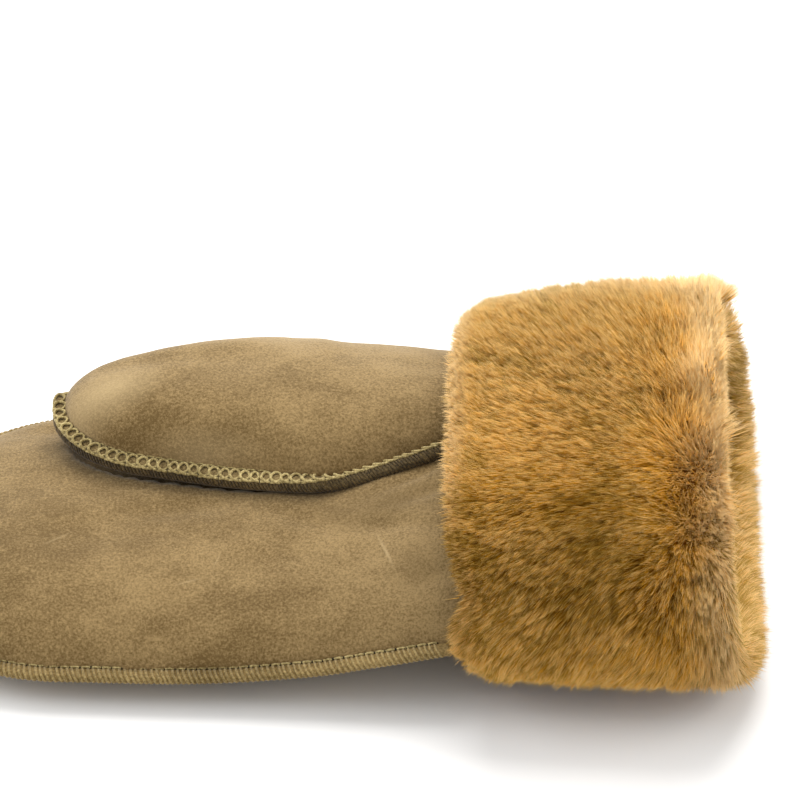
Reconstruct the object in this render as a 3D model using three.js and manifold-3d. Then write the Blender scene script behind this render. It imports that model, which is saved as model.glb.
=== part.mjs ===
// A right-hand mitten of sheepskin, lying palm up with its fingers towards -X and its thumb on the +Y side.
// The hide is worn suede side out, its fleece inside. Two hides make the hand: a back that wraps over the
// index side into the thumb, and a palm. A third closes the thumb from below. Raised overlocked seams join
// them, and a deep fur cuff is turned over the mouth.
// Millimetres, +Z up. Every size below is in one drawing frame; the last lines move its origin to the
// middle of the footprint, on the floor.
import * as THREE from "three";
import Module from "manifold-3d";

const wasm = await Module();
wasm.setup();

// Driving sizes
const WALL = 7; // sheepskin wall of the hand: hide and pressed fleece
const HIDE = 2.3; // the bare hide alone
const THUMB_WALL = 5.2; // the fleece is trimmed shorter in the thumb
const BACKING = 1.7; // the cuff's turned-over hide
const GAP = 0.3; // clearance between neighbouring pieces
const TIP_X = -92; // where the fingertips begin to round off
const TIP_LENGTH = 58;
const TIP_CENTRE_Y = -4;
const CROTCH_X = -24; // where the thumb leaves the hand
const CUFF_START_X = 15; // free edge of the turned-over cuff
const LINING_START_X = 32;
const HAND_END_X = 92; // raw edge of the hand inside the cuff
const MOUTH_X = 103; // fur lip of the cuff
const MOUTH_SLANT = 0.12; // the upper lip of the mouth stands back from the lower one
const SEAM_WIDTH = 4.6;
const SEAM_THICKNESS = 3;
const SEAM_BITE = 1.2; // how far the middle of a seam's ridge lies outside the edge it closes
const FAR_TUCK = 3.2; // how far under the thumb's far fold its seam lies
const TUCK = { width: 3.4, height: 0.9, fromX: -44, toX: 14, places: [-30, -4, 22] }; // pin tucks on the back
const LOCKS_ROUND = 22; // locks of fur in one row round the cuff
const LOCK_REACH = 8; // how much further the crest of a lock hangs than the parting beside it
const LOCK_OVERHANG = 3; // how far the tips of a row hang over the fur below them
const PRESSED = 1; // how much of the fur's depth the floor presses flat

// Points round each section
const HAND_SIDES = 30;
const CAVITY_SIDES = 14;
const LINING_SIDES = 22;
const THUMB_SIDES = 20;
const THUMB_CAVITY_SIDES = 12;
const SEAM_SIDES = 8;
const SLEEVE_SIDES = 28;
const STEPS_PER_LOCK = 4;

// A short table: a row for each section, read by column name and smoothed between the rows.
function table(columns, rows) {
  const names = columns.split(" ");
  return names.slice(1).reduce((read, name, k) => {
    read[name] = (x) => smooth(rows.map((r) => r[0]), rows.map((r) => r[k + 1]), x);
    return read;
  }, {});
}

// Monotone cubic through (xs, ys), held constant past both ends.
function smooth(xs, ys, x) {
  const last = xs.length - 1;
  if (x <= xs[0]) return ys[0];
  if (x >= xs[last]) return ys[last];
  const rise = xs.slice(1).map((v, i) => (ys[i + 1] - ys[i]) / (v - xs[i]));
  const slope = xs.map((_, i) => {
    if (i === 0) return rise[0];
    if (i === last) return rise[last - 1];
    const product = rise[i - 1] * rise[i];
    return product <= 0 ? 0 : (2 * product) / (rise[i - 1] + rise[i]);
  });
  const i = xs.findIndex((v) => v > x) - 1;
  const h = xs[i + 1] - xs[i];
  const t = (x - xs[i]) / h;
  return (
    ys[i] * (1 + 2 * t) * (1 - t) ** 2 +
    ys[i + 1] * t * t * (3 - 2 * t) +
    h * slope[i] * t * (1 - t) ** 2 -
    h * slope[i + 1] * t * t * (1 - t)
  );
}

const power = (v, e) => Math.sign(v) * Math.abs(v) ** e;
const mix = (a, b, t) => a + (b - a) * t;
const range = (from, to, count) => Array.from({ length: count + 1 }, (_, i) => mix(from, to, i / count));
const radians = (degrees) => (degrees * Math.PI) / 180;

// The angles of a ring's points, each once.
const around = (count) => range(0, 2 * Math.PI, count).slice(1);

// A closed solid from points and triangles, turned to face outwards.
function solid(points, faces) {
  const make = (triangles) =>
    new wasm.Manifold(
      new wasm.Mesh({
        numProp: 3,
        vertProperties: new Float32Array(points.flatMap((p) => [p.x, p.y, p.z])),
        triVerts: new Uint32Array(triangles.flat()),
      }),
    );
  const made = make(faces);
  return made.volume() > 0 ? made : make(faces.map(([a, b, c]) => [a, c, b]));
}

// Skins a row of rings that have the same number of points, and closes both ends with a fan.
function loft(rings) {
  const n = rings[0].length;
  const points = rings.flat();
  const faces = [];
  for (let i = 0; i + 1 < rings.length; i++)
    for (let j = 0; j < n; j++) {
      const next = (j + 1) % n;
      const [a, b, c, d] = [i * n + j, i * n + next, (i + 1) * n + j, (i + 1) * n + next];
      faces.push([a, b, d], [a, d, c]);
    }
  const centre = (ring) => ring.reduce((sum, p) => sum.add(p), new THREE.Vector3()).divideScalar(n);
  const first = points.push(centre(rings[0])) - 1;
  const last = points.push(centre(rings[rings.length - 1])) - 1;
  const start = (rings.length - 1) * n;
  for (let j = 0; j < n; j++) {
    const next = (j + 1) % n;
    faces.push([first, next, j], [last, start + j, start + next]);
  }
  return solid(points, faces);
}

// The mouth end leans: points near it slide along X with their height.
function place(x, y, z) {
  const t = THREE.MathUtils.smoothstep(x, 40, HAND_END_X - 4);
  return new THREE.Vector3(x - MOUTH_SLANT * t * (z - 27), y, z);
}

// The hand: a flat sleeve whose two edges are its seams. What would reach below the floor is pressed flat.
const HAND = table("x pinkyY indexY seamZ topZ bottomZ", [
  [-92, -60.5, 52, 9, 27.5, -3],
  [-60, -62, 57, 9.5, 28, -3],
  [-24, -62.5, 60, 12.5, 30.5, -2],
  [-5, -62.5, 60.5, 16, 34, 3],
  [14, -61.5, 60, 19, 37, 6.4],
  [50, -60.5, 61, 23, 41.5, 6.6],
  [92, -61, 65, 26, 44.5, 6.8],
]);
const HAND_EDGE = 0.83; // powers of the rounded section: below 1 is square, above 1 pinched
const HAND_PINCH = 1.16;
const CAVITY_PINCH = 0.85;
const MOUTH_PINCH = 0.9;
const EDGE_FLEECE = 1.35; // fleece crowds into the edges, so the wall is this much thicker there
const BACK_FLEECE = 0.86; // and it is pressed thinner under the hand that lies on it

// How much of the hand's width is left at x: 1 up to the fingertips, 0 at their end.
function tipWidth(x) {
  const t = Math.min(1, Math.max(0, (TIP_X - x) / TIP_LENGTH));
  return Math.sqrt(1 - t ** 2.2);
}

// Main dents and folds of the palm, each a soft hollow in the top of the hide.
const DENTS = [
  { x: -88, y: -18, depth: 1.0, alongX: 20, alongY: 8 },
  { x: -40, y: -32, depth: 1.2, alongX: 16, alongY: 12 },
  { x: -8, y: -30, depth: 1.3, alongX: 10, alongY: 16 },
  { x: 8, y: -10, depth: 1.0, alongX: 9, alongY: 5 },
  { x: -118, y: 8, depth: 0.9, alongX: 14, alongY: 22 },
];
const dent = (x, y) =>
  DENTS.map((d) => d.depth * Math.exp(-(((x - d.x) / d.alongX) ** 2) - ((y - d.y) / d.alongY) ** 2)).reduce(
    (sum, depth) => sum + depth,
  );

// The hand's section at x, or its hollow's when there is an inset.
function handRing(x, inset, count) {
  const width = tipWidth(x);
  const pinky = mix(TIP_CENTRE_Y, HAND.pinkyY(x), width) + inset * EDGE_FLEECE;
  const index = mix(TIP_CENTRE_Y, HAND.indexY(x), width) - inset * EDGE_FLEECE;
  const full = width ** 0.75;
  const top = mix(HAND.seamZ(x), HAND.topZ(x), full) - inset;
  const floor = inset * BACK_FLEECE;
  const bottom = mix(HAND.seamZ(x), HAND.bottomZ(x), full) + floor;
  const seam = inset ? (top + Math.max(bottom, floor)) / 2 : HAND.seamZ(x);
  const open = THREE.MathUtils.smoothstep(x, 20, 80); // the pinched sleeve opens towards the mouth
  const pinch = mix(mix(HAND_PINCH, CAVITY_PINCH, inset / WALL), MOUTH_PINCH, open);
  return around(count).map((angle) => {
    const lift = power(Math.sin(angle), pinch);
    const y = (pinky + index) / 2 + ((index - pinky) / 2) * power(Math.cos(angle), HAND_EDGE);
    const hollow = inset || lift < 0 ? 0 : Math.sin(angle) * dent(x, y);
    const z = seam + lift * (lift > 0 ? top - seam : seam - bottom) - hollow;
    return place(x, y, Math.max(z, floor));
  });
}

const tipX = (degrees) => TIP_X - TIP_LENGTH * Math.sin(radians(degrees));
const handStations = [...range(86, 0, 6).map(tipX), ...range(-76, HAND_END_X, 11)];
const cavityStations = [-136, -127, -110, -85, -55, CROTCH_X, -5, 14, 36, 60, 82, MOUTH_X];
const liningStations = [46, 60, 74, 88];

// The thumb: its near edge is a seam, its far edge a rounded fold. Past the crotch it becomes the ball of
// the thumb and sinks into the hand.
const THUMB = table("x nearY nearZ farY farZ up down", [
  [-96.6, 29.5, 32.6, 36.5, 33.4, 2.2, 1.4],
  [-95, 25, 32.2, 39, 33.3, 6, 2.4],
  [-91.5, 19.5, 31.9, 42.2, 33, 9.5, 3],
  [-86, 14.3, 31.7, 45.4, 32.5, 12.5, 3.3],
  [-78, 10, 31.6, 48.5, 32, 14.5, 3.4],
  [-65, 6.5, 31.6, 52.5, 31.6, 16, 3.2],
  [-50, 3, 31.6, 57.5, 31.2, 17, 2.8],
  [-36, 0.3, 32, 61, 31.2, 17, 2.2],
  [-23.6, -2, 32.6, 63, 30.8, 16.6, 1.9],
  [-17, -1, 32, 64, 28.5, 17, 12],
  [-8, 1.2, 33, 65.3, 26.5, 16.6, 15],
  [4, 5, 34.8, 66, 25, 15.5, 17],
  [14, 9, 36.2, 66, 24, 14, 16],
  [30, 14, 37, 63.5, 24, 10.5, 15],
  [50, 22, 36, 60, 25, 6, 14],
]);
const thumbStations = [
  -96.6, -95, -91.5, -86, -78, -68, -58, -47, -36, CROTCH_X + 0.4, -17, -8, 4, 14, 30, 50,
];
const thumbCavityStations = [-86, -78, -60, -40, CROTCH_X + 1, -14, 4, 24];
const THUMB_EDGE = 0.86;
const THUMB_ROUND = 0.9; // the fold's fullness
const THUMB_PINCH = 1.12; // the near edge is pinched into its seam

// The thumb's section at x, or its hollow's when there is an inset.
function thumbRing(x, inset, count) {
  const near = THUMB.nearY(x) + inset * EDGE_FLEECE;
  const far = THUMB.farY(x) - inset;
  const shift = (THUMB.up(x) - THUMB.down(x)) / 2;
  const half = (THUMB.up(x) + THUMB.down(x)) / 2 - inset;
  return around(count).map((angle) => {
    const across = Math.cos(angle);
    const t = (1 + power(across, THUMB_EDGE)) / 2;
    const middle = mix(THUMB.nearZ(x), THUMB.farZ(x), t);
    const rise = power(Math.sin(angle), mix(THUMB_ROUND, THUMB_PINCH, Math.max(0, -across)));
    const outer = middle + rise * (rise > 0 ? THUMB.up(x) : THUMB.down(x));
    return place(x, mix(near, far, t), inset ? middle + shift + rise * half : outer);
  });
}

// A beam along X with a box section at each station, used to part the hides.
function beam(stations, section) {
  return loft(
    stations.map((x) => {
      const { y0, y1, z0, z1 } = section(x);
      return [place(x, y0, z0), place(x, y1, z0), place(x, y1, z1), place(x, y0, z1)];
    }),
  );
}

// A seam's ridge: two edges of hide pressed together under overlock thread. The path gives each point of
// its middle and the way the ridge stands out there.
function ridge(path, grow) {
  const half = { out: SEAM_WIDTH / 2 + grow, thick: SEAM_THICKNESS / 2 + grow };
  return loft(
    path.map(({ at, out }, i) => {
      const before = path[Math.max(0, i - 1)].at;
      const after = path[Math.min(path.length - 1, i + 1)].at;
      const along = new THREE.Vector3().subVectors(after, before).normalize();
      const side = new THREE.Vector3().crossVectors(along, out).normalize();
      const stand = new THREE.Vector3().crossVectors(side, along).normalize();
      const end = i === 0 ? -grow : i === path.length - 1 ? grow : 0;
      return around(SEAM_SIDES).map((angle) =>
        at
          .clone()
          .addScaledVector(stand, power(Math.cos(angle), 0.7) * half.out)
          .addScaledVector(side, power(Math.sin(angle), 0.7) * half.thick)
          .addScaledVector(along, end),
      );
    }),
  );
}

// Finds each seam point's outward direction in plan, leant up or down by `lean` degrees, and moves the
// point that way.
function outset(points, lean) {
  return points.map((p, i) => {
    const before = points[Math.max(0, i - 1)];
    const after = points[Math.min(points.length - 1, i + 1)];
    const flat = new THREE.Vector3(before.y - after.y, after.x - before.x, 0).normalize();
    const angle = radians(lean(i));
    const out = flat.multiplyScalar(Math.cos(angle)).setZ(Math.sin(angle));
    return { at: p.clone().addScaledVector(out, SEAM_BITE), out };
  });
}

// The hand's edge seam: from the cuff down the little-finger side, round the fingertips and back up the
// index side to the crotch of the thumb.
function edgeSeamPath() {
  const at = (side) => (x) =>
    new THREE.Vector3(x, mix(TIP_CENTRE_Y, side(x), tipWidth(x)), HAND.seamZ(x));
  const round = range(12, 80, 6).map(tipX);
  const tip = new THREE.Vector3(TIP_X - TIP_LENGTH, TIP_CENTRE_Y, HAND.seamZ(TIP_X));
  const points = [
    ...[...range(CUFF_START_X - 1, TIP_X, 9), ...round].map(at(HAND.pinkyY)),
    tip,
    ...[...round.reverse(), ...range(TIP_X, CROTCH_X - 4, 6)].map(at(HAND.indexY)),
  ];
  return outset(points, () => 0);
}

// The palm and thumb seam, one run: up the palm from the cuff, along the thumb's near edge, round its tip
// and back beneath its far side. Columns: x, and the lean in degrees, where 90 stands straight up.
const NEAR_RUN = [
  [14, 62], [7, 62], [0, 60], [-7, 56], [-14, 50], [-20, 38], [-26, 20], [-33, 8], [-41, 2], [-50, 0],
  [-58, 0], [-66, 0], [-74, 0], [-80, 0], [-85, 0], [-89, 0], [-92.5, 0], [-95, 0], [-96.3, 0],
];
const FAR_RUN = [
  [-96.3, -8], [-94.5, -20], [-91, -30], [-85, -40], [-76, -48],
  [-66, -50], [-56, -50], [-46, -50], [-36, -50], [-28, -50],
];
function thumbSeamPath() {
  const near = NEAR_RUN.map(([x]) => new THREE.Vector3(x, THUMB.nearY(x), THUMB.nearZ(x)));
  const far = FAR_RUN.map(([x], i) => {
    const tuck = FAR_TUCK * Math.min(1, i / 3);
    return new THREE.Vector3(x, THUMB.farY(x) - tuck, THUMB.farZ(x) - tuck);
  });
  const leans = [...NEAR_RUN, ...FAR_RUN].map(([, lean]) => lean);
  return outset([...near, ...far], (i) => leans[i]);
}

const seamChannels = ridge(edgeSeamPath(), GAP).add(ridge(thumbSeamPath(), GAP));

// The hollows: the hand's, the pocket its lining sits in, and the thumb's.
const pastMouth = (x) => x + 12;
const liningPocket = loft(
  [LINING_START_X, ...liningStations, pastMouth(HAND_END_X)].map((x) => handRing(x, HIDE, LINING_SIDES)),
);
const hollow = loft(cavityStations.map((x) => handRing(x, WALL, CAVITY_SIDES)))
  .add(liningPocket)
  .add(loft(thumbCavityStations.map((x) => thumbRing(x, THUMB_WALL, THUMB_CAVITY_SIDES))));
const handWall = loft(handStations.map((x) => handRing(x, 0, HAND_SIDES))).subtract(hollow);
const thumbWall = loft(thumbStations.map((x) => thumbRing(x, 0, THUMB_SIDES))).subtract(hollow);

// The space that belongs to the palm's hide: above the edge seam, and past the crotch only up to the
// palm seam.
const FAR_AWAY = 130;
function palmSpace(grow) {
  const section = (farSide) => (x) => ({
    y0: -FAR_AWAY,
    y1: farSide(x),
    z0: HAND.seamZ(x) - grow,
    z1: FAR_AWAY,
  });
  const fingers = beam([...range(-160, -32, 12), CROTCH_X + grow], section(() => FAR_AWAY));
  const heel = beam(range(CROTCH_X - 2, pastMouth(MOUTH_X), 14), section((x) => THUMB.nearY(x) - 0.5 + grow));
  return fingers.add(heel);
}

// The space that belongs to the thumb's inner hide: below the thumb's seams.
function innerThumbSpace(grow) {
  return beam([-110, ...thumbStations.slice(0, 9), CROTCH_X - GAP + grow], (x) => ({
    y0: -FAR_AWAY,
    y1: THUMB.farY(x) - FAR_TUCK * 1.4 + grow,
    z0: 0,
    z1: mix(THUMB.nearZ(x), THUMB.farZ(x), 0.35) + grow,
  }));
}

// One pin tuck on the back of the hand, running from the cuff towards the fingers.
function tuck(y) {
  const half = TUCK.width / 2;
  return loft(
    range(TUCK.fromX, TUCK.toX, 7).map((x) => {
      const middle = (HAND.pinkyY(x) + HAND.indexY(x)) / 2;
      const across = (2 * Math.abs(y - middle)) / (HAND.indexY(x) - HAND.pinkyY(x));
      const fullness = (1 - across ** (2 / HAND_EDGE)) ** (HAND_PINCH / 2);
      const back = Math.max(0, mix(HAND.seamZ(x), HAND.bottomZ(x), fullness));
      const low = Math.max(0, back - TUCK.height);
      const corners = [[-half, back + 1.5], [-half * 0.6, low], [half * 0.6, low], [half, back + 1.5]];
      return corners.map(([side, z]) => place(x, y + side, z));
    }),
  );
}

const palmPanel = handWall.intersect(palmSpace(0)).subtract(seamChannels);
const innerThumb = thumbWall.intersect(innerThumbSpace(0)).subtract(seamChannels);
const backPanel = TUCK.places
  .map(tuck)
  .reduce((hide, ridged) => hide.add(ridged), handWall.subtract(palmSpace(GAP)))
  .add(thumbWall.subtract(innerThumbSpace(GAP)))
  .subtract(seamChannels);

// The fleece that shows inside the mouth: a sleeve against the hide, thinned at its raw edge.
function fleeceLining() {
  const outside = (x) => handRing(x, HIDE + 2 * GAP, LINING_SIDES);
  const inside = (x) => handRing(x, WALL, LINING_SIDES);
  const edge = handRing(HAND_END_X, HIDE + 2, LINING_SIDES);
  const body = loft([...[LINING_START_X + GAP, ...liningStations].map(outside), edge]);
  return body.subtract(loft([LINING_START_X - 9, ...liningStations, pastMouth(HAND_END_X)].map(inside)));
}

// The cuff: its suede backing is a sleeve round the hand, and its fur is a thick coat over the backing,
// turned in at the mouth. Sections are rounded rectangles, lower on the little-finger side near the hand.
const CUFF = table("x middleY halfWidth backingTop backingBottom furWidth furTop drop", [
  [15, 2, 67.5, 47.5, 5.8, 76.5, 56.5, 4.5],
  [45, 2.5, 67.5, 48.5, 5.8, 80, 59.5, 2],
  [70, 2.5, 68.5, 49.5, 5.8, 82, 61, 0],
  [92, 2.5, 69.5, 50, 5.8, 83.5, 62, 0],
]);
const CUFF_EDGE = 0.74;
const sleeveStations = [30, 50, 66, 80];

// A section of the cuff. `grow` is measured from the backing's inner face, and depth runs from there, at 0,
// to the tips of the fur, at 1.
function cuffRing(x, grow, depth, count) {
  const halfWidth = mix(CUFF.halfWidth(x) + grow, CUFF.furWidth(x), depth);
  const top = mix(CUFF.backingTop(x) + grow, CUFF.furTop(x), depth);
  const bottom = mix(CUFF.backingBottom(x) - grow, -PRESSED, depth);
  return around(count).map((angle) => {
    const y = CUFF.middleY(x) + halfWidth * power(Math.cos(angle), CUFF_EDGE);
    const lift = power(Math.sin(angle), CUFF_EDGE);
    const lowered = lift > 0 ? lift * CUFF.drop(x) * THREE.MathUtils.smoothstep(20 - y, 0, 60) : 0;
    return place(x, y, (top + bottom) / 2 + ((top - bottom) / 2) * lift - lowered);
  });
}
// A solid sleeve with the cuff's section, `grow` outside the backing's inner face.
const sleeve = (fromX, toX, grow) =>
  loft([fromX, ...sleeveStations, toX].map((x) => cuffRing(x, grow, 0, SLEEVE_SIDES)));
const cuffBacking = sleeve(CUFF_START_X, HAND_END_X, BACKING).subtract(
  sleeve(CUFF_START_X - 5, pastMouth(HAND_END_X), 0),
);

// The fur falls in locks: rows of overlapping tongues, each row starting under the tips of the last.
// A row is given by where its tips end; at a lock's crest the tips reach furthest and lie highest.
const LOCK_ROWS = [
  { tipX: 19, low: 0.35, high: 0.84 },
  { tipX: 33, low: 0.62, high: 0.96 },
  { tipX: 47, low: 0.66, high: 1 },
  { tipX: 61, low: 0.66, high: 1 },
  { tipX: 76, low: 0.66, high: 1 },
  { tipX: 90, low: 0.7, high: 0.94 },
];

// A number from 0 to 1 that depends only on the lock's place, so the fur is the same every time.
function scatter(row, k) {
  const v = Math.sin(row * 127.1 + k * 311.7) * 43758.5453;
  return v - Math.floor(v);
}

// How far round step j of a row is up the nearest lock's crest: 0 at a parting, 1 at the crest.
function crest(row, j) {
  const shifted = j + (row % 2) * (STEPS_PER_LOCK / 2);
  const t = (shifted % STEPS_PER_LOCK) / STEPS_PER_LOCK;
  const k = Math.floor(shifted / STEPS_PER_LOCK) % LOCKS_ROUND;
  return Math.sin(Math.PI * t) * (0.65 + 0.35 * scatter(row, k));
}

// One ring of the coat, whose x and depth both change from step to step round it.
function furRing(xAt, depthAt) {
  const count = LOCKS_ROUND * STEPS_PER_LOCK;
  return around(count).map((_, j) => {
    const point = cuffRing(xAt(j), BACKING + GAP, depthAt(j), count)[j];
    return point.setZ(Math.max(0, point.z));
  });
}

// A row of locks: the fur just under its tips, then the tips themselves, lower at the partings.
function lockRow({ tipX, low, high }, row) {
  const reach = (j) => tipX - LOCK_REACH * crest(row, j);
  return [
    furRing((j) => reach(j) + LOCK_OVERHANG, () => low),
    furRing(reach, (j) => high - 0.12 * (1 - crest(row, j))),
  ];
}

// The coat is rolled over the lip of the mouth in a last row of short locks.
function furCoat() {
  const rim = (j) => crest(LOCK_ROWS.length, j);
  return loft([
    furRing(() => CUFF_START_X + 3, () => 0.1),
    ...LOCK_ROWS.flatMap(lockRow),
    furRing(() => HAND_END_X + 4, (j) => 0.55 + 0.1 * rim(j)),
    furRing((j) => MOUTH_X - 3 + 2 * rim(j), (j) => 0.1 + 0.15 * rim(j)),
    furRing((j) => MOUTH_X - 2 + 2 * rim(j), () => -0.35),
  ]);
}

// What the coat is hollow for: the backing, and the mouth that widens out of the hand's hollow.
const LIP = [
  { past: -1, inset: 0.2 },
  { past: 3, inset: 0.4 },
  { past: 7, inset: -1.5 },
  { past: 10.5, inset: -5.5 },
  { past: 14, inset: -11 },
];
function cuffHollow() {
  const lipRing = ({ past, inset }) =>
    handRing(HAND_END_X, WALL + inset, LINING_SIDES).map((p) => p.setX(p.x + past));
  return sleeve(CUFF_START_X - 40, HAND_END_X + GAP, BACKING + GAP).add(loft(LIP.map(lipRing)));
}

// Finishes, from the photograph's light: olive suede, matching thread, golden fur
const suede = { color: 0x9c8459, roughness: 0.95, metalness: 0 };
const thread = { color: 0x8a7345, roughness: 0.85, metalness: 0 };
const fur = { color: 0xc08a45, roughness: 1, metalness: 0 };
const fleece = { color: 0xcda768, roughness: 1, metalness: 0 };

const mitten = new THREE.Group();
function addPiece(name, body, finish) {
  const { numVert, numProp, vertProperties, triVerts } = body.getMesh();
  const position = new Float32Array(numVert * 3);
  for (let i = 0; i < numVert; i++)
    position.set(vertProperties.subarray(i * numProp, i * numProp + 3), i * 3);
  const geometry = new THREE.BufferGeometry();
  geometry.setAttribute("position", new THREE.BufferAttribute(position, 3));
  geometry.setIndex(new THREE.BufferAttribute(new Uint32Array(triVerts), 1));
  geometry.computeVertexNormals();
  const mesh = new THREE.Mesh(geometry, new THREE.MeshStandardMaterial(finish));
  mesh.name = name;
  mitten.add(mesh);
}
addPiece("back_panel", backPanel, suede);
addPiece("palm_panel", palmPanel, suede);
addPiece("thumb_inner_panel", innerThumb, suede);
addPiece("edge_seam", ridge(edgeSeamPath(), 0), thread);
addPiece("thumb_seam", ridge(thumbSeamPath(), 0), thread);
addPiece("cuff_backing", cuffBacking, suede);
addPiece("cuff_fur", furCoat().subtract(cuffHollow()), fur);
addPiece("fleece_lining", fleeceLining(), fleece);

const extent = new THREE.Box3().setFromObject(mitten);
const middle = extent.getCenter(new THREE.Vector3());
mitten.position.set(-middle.x, -middle.y, -extent.min.z);

export default mitten;
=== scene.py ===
# A right-hand sheepskin mitten lying palm up: suede outside, fleece inside, raised overlocked seams and a
# deep fur cuff turned over its mouth. Metres, +X towards the mouth, +Y towards the thumb, +Z up.
import math

import bmesh
import bpy
import numpy as np
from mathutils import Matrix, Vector, noise
from mathutils.bvhtree import BVHTree


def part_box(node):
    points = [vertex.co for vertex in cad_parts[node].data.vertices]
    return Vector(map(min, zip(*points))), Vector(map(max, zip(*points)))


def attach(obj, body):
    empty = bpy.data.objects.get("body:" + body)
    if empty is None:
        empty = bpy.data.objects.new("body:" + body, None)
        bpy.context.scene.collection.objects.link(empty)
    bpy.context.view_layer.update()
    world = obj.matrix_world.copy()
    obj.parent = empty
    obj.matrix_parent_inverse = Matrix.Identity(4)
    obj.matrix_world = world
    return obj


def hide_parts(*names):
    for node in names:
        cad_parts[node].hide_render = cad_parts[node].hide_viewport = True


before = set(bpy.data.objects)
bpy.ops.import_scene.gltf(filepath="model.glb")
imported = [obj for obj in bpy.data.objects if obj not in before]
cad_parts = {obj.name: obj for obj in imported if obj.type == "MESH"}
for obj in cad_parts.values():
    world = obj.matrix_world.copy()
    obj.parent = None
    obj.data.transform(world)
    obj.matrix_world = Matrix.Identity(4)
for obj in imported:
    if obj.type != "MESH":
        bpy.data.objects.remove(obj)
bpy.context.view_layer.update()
MM = 0.001

# The camera stands at the photograph's angle, far enough off that the near side hardly grows, and its frame
# is 229 mm wide at the mitten, which cuts off the fingertips as the photograph does.
VIEW_ELEVATION = math.radians(36)
VIEW_DISTANCE = 3.2
FRAME_WIDTH = 0.2286
VIEW_CENTRE = Vector((0.0241, 0.00615, 0.0544))
camera_data = bpy.data.cameras.new("camera")
SENSOR = 36
camera_data.sensor_width = SENSOR
camera_data.lens = SENSOR * VIEW_DISTANCE / FRAME_WIDTH
camera = bpy.data.objects.new("camera", camera_data)
towards_camera = Vector((0, -math.cos(VIEW_ELEVATION), math.sin(VIEW_ELEVATION)))
camera.location = VIEW_CENTRE + VIEW_DISTANCE * towards_camera
camera.rotation_euler = (math.pi / 2 - VIEW_ELEVATION, 0, 0)
bpy.context.collection.objects.link(camera)
bpy.context.scene.camera = camera

# The hand's form: the smooth surface that the hides are drawn over. It repeats the solids' own sections,
# in drawing millimetres, whose origin is found from the low corner of the cuff's backing.
BACKING_LOW_X, BACKING_LOW_Y = 15, -68.7
backing_low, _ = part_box("cuff_backing")
ORIGIN = np.array([backing_low.x / MM - BACKING_LOW_X, backing_low.y / MM - BACKING_LOW_Y, 0])
HAND_END = 92
TIP_X, TIP_LENGTH, TIP_CENTRE_Y = -92, 58, -4
MOUTH_SLANT, SLANT_LEVEL = 0.12, 27  # how far the mouth leans back per millimetre above this level
# How the hand thins towards its seam, where less is fuller: at its skin, in its hollow, and at the wrist
SKIN_PINCH, HOLLOW_PINCH, WRIST_PINCH = 1.16, 0.85, 0.9
THICKEST_WALL = 7
INSET_SIDEWAYS = 1.35  # how much thicker the wall is at the sides
# x, little-finger edge, index edge, seam height, top, bottom
HAND_ROWS = np.array([
    (-92, -60.5, 52, 9, 27.5, -3),
    (-60, -62, 57, 9.5, 28, -3),
    (-24, -62.5, 60, 12.5, 30.5, -2),
    (-5, -62.5, 60.5, 16, 34, 3),
    (14, -61.5, 60, 19, 37, 6.4),
    (50, -60.5, 61, 23, 41.5, 6.6),
    (92, -61, 65, 26, 44.5, 6.8),
])
# x, near edge y and z, far edge y and z, rise above and below
THUMB_ROWS = np.array([
    (-96.6, 29.5, 32.6, 36.5, 33.4, 2.2, 1.4),
    (-95, 25, 32.2, 39, 33.3, 6, 2.4),
    (-91.5, 19.5, 31.9, 42.2, 33, 9.5, 3),
    (-86, 14.3, 31.7, 45.4, 32.5, 12.5, 3.3),
    (-78, 10, 31.6, 48.5, 32, 14.5, 3.4),
    (-65, 6.5, 31.6, 52.5, 31.6, 16, 3.2),
    (-50, 3, 31.6, 57.5, 31.2, 17, 2.8),
    (-36, 0.3, 32, 61, 31.2, 17, 2.2),
    (-23.6, -2, 32.6, 63, 30.8, 16.6, 1.9),
    (-17, -1, 32, 64, 28.5, 17, 12),
    (-8, 1.2, 33, 65.3, 26.5, 16.6, 15),
    (4, 5, 34.8, 66, 25, 15.5, 17),
    (14, 9, 36.2, 66, 24, 14, 16),
    (30, 14, 37, 63.5, 24, 10.5, 15),
    (50, 22, 36, 60, 25, 6, 14),
])


def read(rows, column, x):
    """A column of a table of sections, smoothed between its rows by a monotone cubic."""
    xs, ys = rows[:, 0], rows[:, column]
    rise = np.diff(ys) / np.diff(xs)
    slope = np.empty_like(ys)
    slope[0], slope[-1] = rise[0], rise[-1]
    product, total = rise[:-1] * rise[1:], rise[:-1] + rise[1:]
    slope[1:-1] = np.where(product > 0, 2 * product / np.where(total == 0, 1, total), 0)
    x = np.clip(x, xs[0], xs[-1])
    i = np.clip(np.searchsorted(xs, x, side="right") - 1, 0, len(xs) - 2)
    h = xs[i + 1] - xs[i]
    t = (x - xs[i]) / h
    return (
        ys[i] * (1 + 2 * t) * (1 - t) ** 2
        + ys[i + 1] * t * t * (3 - 2 * t)
        + h * slope[i] * t * (1 - t) ** 2
        - h * slope[i + 1] * t * t * (1 - t)
    )


def smoothstep(x, low, high):
    """A smooth rise from 0 to 1."""
    t = np.clip((x - low) / (high - low), 0, 1)
    return t * t * (3 - 2 * t)


def power(v, e):
    """A power that keeps the sign."""
    return np.sign(v) * np.abs(v) ** e


def place(x, y, z):
    """Drawing millimetres to metres in the frame, with the mouth's lean."""
    lean = MOUTH_SLANT * smoothstep(x, 40, HAND_END - 4) * (z - SLANT_LEVEL)
    return (np.stack(np.broadcast_arrays(x - lean, y, z), -1) + ORIGIN) * MM


def tip_width(x):
    """The hand's width past the start of the fingertips' curve, as a share of its full width."""
    return np.sqrt(1 - np.clip((TIP_X - x) / TIP_LENGTH, 0, 1) ** 2.2)


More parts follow.
